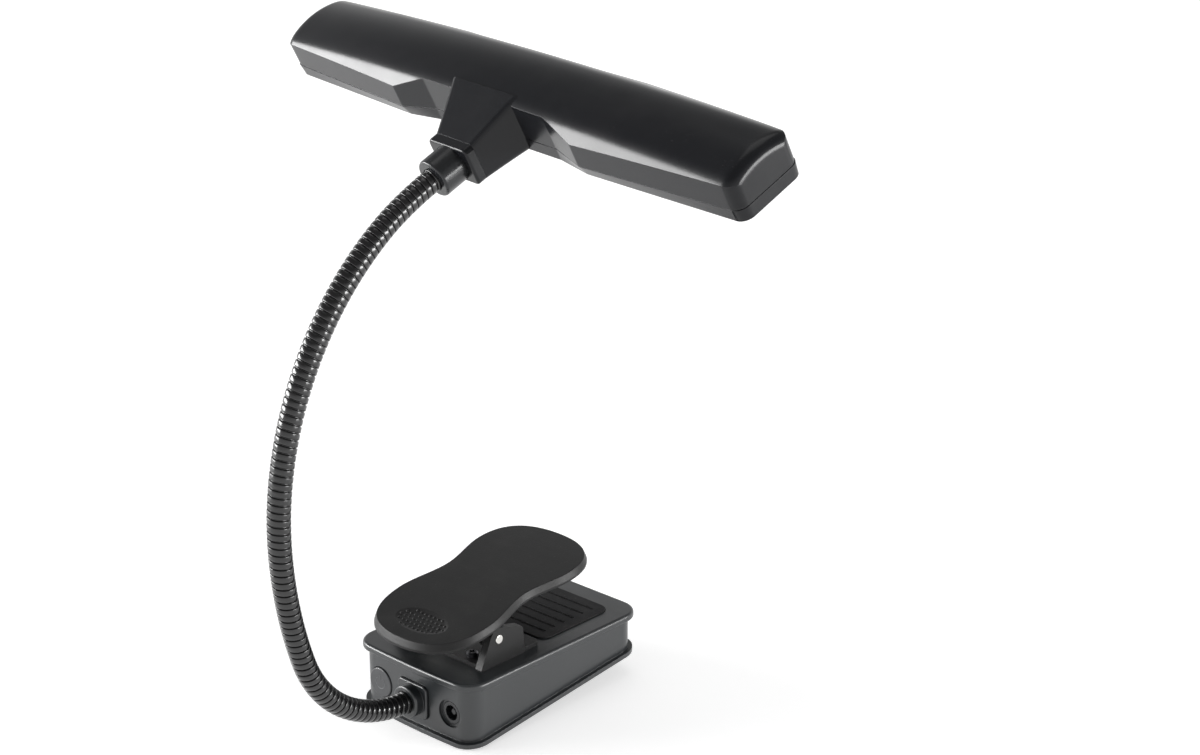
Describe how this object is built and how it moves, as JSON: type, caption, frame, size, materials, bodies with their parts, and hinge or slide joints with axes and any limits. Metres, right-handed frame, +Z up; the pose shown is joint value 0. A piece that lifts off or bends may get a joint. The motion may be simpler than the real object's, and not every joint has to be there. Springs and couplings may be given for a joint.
{
  "type": "clip-on lamp",
  "caption": "Clip-on desk lamp: long bow-tie LED head on a wound gooseneck, battery case with a spring-clamp lever on top, push button and charging socket.",
  "frame": {"origin": "middle of the lower jaw pad's face, on top of the battery case", "axes": "+Z up out of the jaw pad, +Y from the case's front face towards the jaws, +X across the lamp"},
  "size_m": [0.2328, 0.1434, 0.2278],
  "materials": {
    "case_shell": "satin black",
    "head_shell": "gloss black",
    "lever_shell": "fine matte black",
    "button_cap": "satin black",
    "white_parts": "moulded",
    "jaw_rubber": "ribbed",
    "neck_steel": "gloss black wound steel",
    "fittings": "semi-gloss black",
    "bright_steel": "nickel plated",
    "screw_steel": "zinc plated",
    "spring_steel": "bright drawn wire",
    "board": "solder mask",
    "led_white_board": "white solder mask",
    "led_body": "phosphor",
    "diffuser": "milky translucent",
    "cell_jacket": "printed-free steel jacket"
  },
  "bodies": {
    "case": {"case_tray": "case_shell", "case_lid": "case_shell", "jaw_pad": "jaw_rubber", "case_screws": "screw_steel", "circuit_board": "board", "switch_body": "fittings", "dc_jack": "fittings", "front_contacts": "spring_steel", "rear_contacts": "spring_steel", "cell_left": "cell_jacket", "cell_middle": "cell_jacket", "cell_right": "cell_jacket", "neck_flange": "case_shell", "neck_nut": "screw_steel", "gooseneck_1": "neck_steel", "clamp_bracket": "lever_shell", "bracket_screws": "screw_steel", "pivot_pin": "bright_steel", "torsion_spring": "spring_steel"},
    "lever": {"lever_plate": "lever_shell", "jaw_foot": "jaw_rubber"},
    "button": {"power_button": "button_cap", "switch_plunger": "white_parts"},
    "door": {"battery_door": "case_shell"},
    "neck_low": {"gooseneck_2": "neck_steel"},
    "neck_mid": {"gooseneck_3": "neck_steel"},
    "neck_high": {"gooseneck_4": "neck_steel"},
    "neck_top": {"gooseneck_5": "neck_steel"},
    "head": {"gooseneck_6": "neck_steel", "head_collar": "fittings", "neck_cap": "head_shell", "head_top_cover": "head_shell", "head_base": "head_shell", "lens": "diffuser", "led_board": "led_white_board", "leds": "led_body", "head_screws": "screw_steel"}
  },
  "joints": [
    {"name": "lever_hinge", "type": "hinge", "parent": "case", "child": "lever", "pos_m": [0, -0.04, 0.0088], "axis": [1, 0, 0], "range_deg": [-18, 17], "stiffness_Nm_per_rad": 0.6, "deforming": ["torsion_spring"]},
    {"name": "button_press", "type": "slide", "parent": "case", "child": "button", "axis": [0, 1, 0], "range_m": [0, 0.0008], "stiffness_N_per_m": 300},
    {"name": "door_slide", "type": "slide", "parent": "case", "child": "door", "axis": [0, 0.9952, 0.0976], "range_m": [0, 0.02]},
    {"name": "neck_base_bend", "type": "hinge", "parent": "case", "child": "neck_low", "pos_m": [0, -0.09277, -0.00299], "axis": [1, 0, 0], "range_deg": [-35, 35]},
    {"name": "neck_swing", "type": "hinge", "parent": "neck_low", "child": "neck_mid", "pos_m": [0, -0.11165, 0.03998], "axis": [0, -0.9879, -0.1551], "range_deg": [-35, 35]},
    {"name": "neck_mid_bend", "type": "hinge", "parent": "neck_mid", "child": "neck_high", "pos_m": [0, -0.11038, 0.08765], "axis": [1, 0, 0], "range_deg": [-35, 35]},
    {"name": "neck_top_bend", "type": "hinge", "parent": "neck_high", "child": "neck_top", "pos_m": [0, -0.08981, 0.13061], "axis": [-1, 0, 0], "range_deg": [-35, 35]},
    {"name": "head_turn", "type": "hinge", "parent": "neck_top", "child": "head", "pos_m": [0, -0.05396, 0.16084], "axis": [-0.0313, -0.4679, 0.8832], "range_deg": [-35, 35]}
  ]
}
